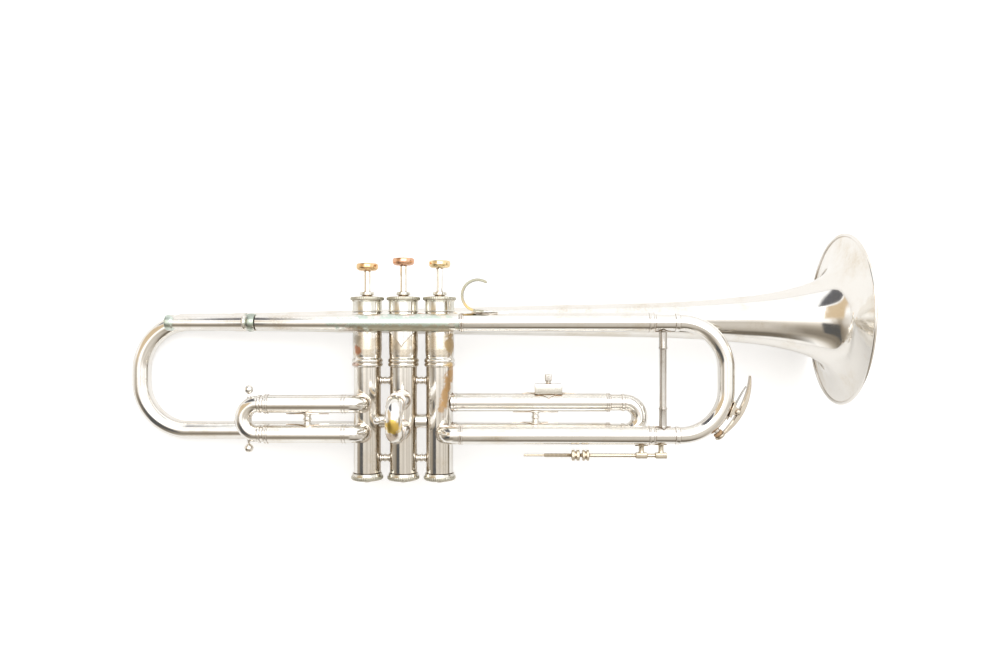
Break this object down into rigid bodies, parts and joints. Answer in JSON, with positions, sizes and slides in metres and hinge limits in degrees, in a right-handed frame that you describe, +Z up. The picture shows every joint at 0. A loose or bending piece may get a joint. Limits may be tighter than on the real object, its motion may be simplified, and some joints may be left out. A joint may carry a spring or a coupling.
{
  "type": "cornet",
  "caption": "silver-plated long-model cornet lying on its left side, with piston valves, valve slides, a tuning slide with a water key and a flared bell",
  "frame": {"origin": "centre of the bounding box's underside, on the surface that the cornet lies on", "axes": "+X towards the bell, +Y towards the finger buttons, +Z up, which is the player's right; the lengthwise tubes rise towards the bell by 6.2 degrees"},
  "size_m": [0.5282, 0.1798, 0.1249],
  "materials": {
    "silver_plate": "polished, lightly tarnished",
    "gold_wash": "polished, worn",
    "piston_metal": "satin",
    "spring_wire": "satin",
    "cork": "matte"
  },
  "bodies": {
    "cornet_body": {"valve_casing_1": "silver_plate", "top_cap_1": "silver_plate", "bottom_cap_1": "silver_plate", "valve_spring_1": "spring_wire", "valve_casing_2": "silver_plate", "top_cap_2": "silver_plate", "bottom_cap_2": "silver_plate", "valve_spring_2": "spring_wire", "valve_casing_3": "silver_plate", "top_cap_3": "silver_plate", "bottom_cap_3": "silver_plate", "valve_spring_3": "spring_wire", "upper_casing_brace_12": "silver_plate", "lower_casing_brace_12": "silver_plate", "upper_casing_brace_23": "silver_plate", "lower_casing_brace_23": "silver_plate", "transfer_tube_12": "silver_plate", "transfer_tube_23": "silver_plate", "mouthpiece_receiver": "silver_plate", "leadpipe": "silver_plate", "leadpipe_brace": "silver_plate", "upper_tuning_sleeve": "silver_plate", "lower_tuning_sleeve": "silver_plate", "pinky_hook": "silver_plate", "stop_post": "silver_plate", "first_slide_upper_sleeve": "silver_plate", "first_slide_lower_sleeve": "silver_plate", "first_slide_brace": "silver_plate", "second_slide_upper_sleeve": "silver_plate", "second_slide_lower_sleeve": "silver_plate", "third_slide_upper_sleeve": "silver_plate", "third_slide_lower_sleeve": "silver_plate", "third_slide_brace": "silver_plate", "lyre_holder": "silver_plate", "bell": "silver_plate", "bell_bow": "silver_plate", "bell_brace": "silver_plate"},
    "valve_1": {"piston_1": "piston_metal", "stem_1": "silver_plate", "finger_button_1": "gold_wash"},
    "valve_2": {"piston_2": "piston_metal", "stem_2": "silver_plate", "finger_button_2": "gold_wash"},
    "valve_3": {"piston_3": "piston_metal", "stem_3": "silver_plate", "finger_button_3": "gold_wash"},
    "tuning_slide": {"tuning_crook": "silver_plate", "tuning_brace": "silver_plate", "stop_rod": "silver_plate", "water_key_saddle": "silver_plate", "water_key_pin": "spring_wire", "water_key_spring": "spring_wire"},
    "stop_nut": {"stop_nut": "silver_plate"},
    "stop_lock_nut": {"stop_lock_nut": "silver_plate"},
    "water_key": {"water_key_lever": "silver_plate", "water_key_cork": "cork"},
    "first_slide": {"first_slide_bow": "silver_plate"},
    "second_slide": {"second_slide_bow": "silver_plate"},
    "third_slide": {"third_slide_bow": "silver_plate"},
    "lyre_screw": {"lyre_screw": "silver_plate"}
  },
  "joints": [
    {"name": "valve_1_press", "type": "slide", "parent": "cornet_body", "child": "valve_1", "axis": [0, -1, 0], "range_m": [0, 0.0145], "stiffness_N_per_m": 180, "springref_m": -0.012, "deforming": ["valve_spring_1"]},
    {"name": "valve_2_press", "type": "slide", "parent": "cornet_body", "child": "valve_2", "axis": [0, -1, 0], "range_m": [0, 0.0145], "stiffness_N_per_m": 180, "springref_m": -0.012, "deforming": ["valve_spring_2"]},
    {"name": "valve_3_press", "type": "slide", "parent": "cornet_body", "child": "valve_3", "axis": [0, -1, 0], "range_m": [0, 0.0145], "stiffness_N_per_m": 180, "springref_m": -0.012, "deforming": ["valve_spring_3"]},
    {"name": "tuning_slide_pull", "type": "slide", "parent": "cornet_body", "child": "tuning_slide", "axis": [0.9942, 0, 0.1079], "range_m": [0, 0.032]},
    {"name": "stop_nut_travel", "type": "slide", "parent": "tuning_slide", "child": "stop_nut", "axis": [-0.9942, 0, -0.1079], "range_m": [0, 0.016]},
    {"name": "stop_lock_nut_travel", "type": "slide", "parent": "tuning_slide", "child": "stop_lock_nut", "axis": [-0.9942, 0, -0.1079], "range_m": [0, 0.016]},
    {"name": "water_key_press", "type": "hinge", "parent": "tuning_slide", "child": "water_key", "pos_m": [0.16686, -0.03732, 0.09202], "axis": [-0.1079, 0, 0.9942], "range_deg": [0, 18], "stiffness_Nm_per_rad": 0.06, "springref_deg": -20.05, "deforming": ["water_key_spring"]},
    {"name": "first_slide_pull", "type": "slide", "parent": "cornet_body", "child": "first_slide", "axis": [-0.9942, 0, -0.1079], "range_m": [0, 0.035]},
    {"name": "second_slide_pull", "type": "slide", "parent": "cornet_body", "child": "second_slide", "axis": [-0.1079, 0, 0.9942], "range_m": [0, 0.015]},
    {"name": "third_slide_pull", "type": "slide", "parent": "cornet_body", "child": "third_slide", "axis": [0.9942, 0, 0.1079], "range_m": [0, 0.035]},
    {"name": "lyre_screw_turn", "type": "hinge", "parent": "cornet_body", "child": "lyre_screw", "pos_m": [0.04056, -0.01766, 0.06021], "axis": [0, 1, 0], "continuous": true}
  ],
  "couplings": [
    {"joint": "stop_lock_nut_travel", "follows": "stop_nut_travel", "ratio": 1}
  ]
}
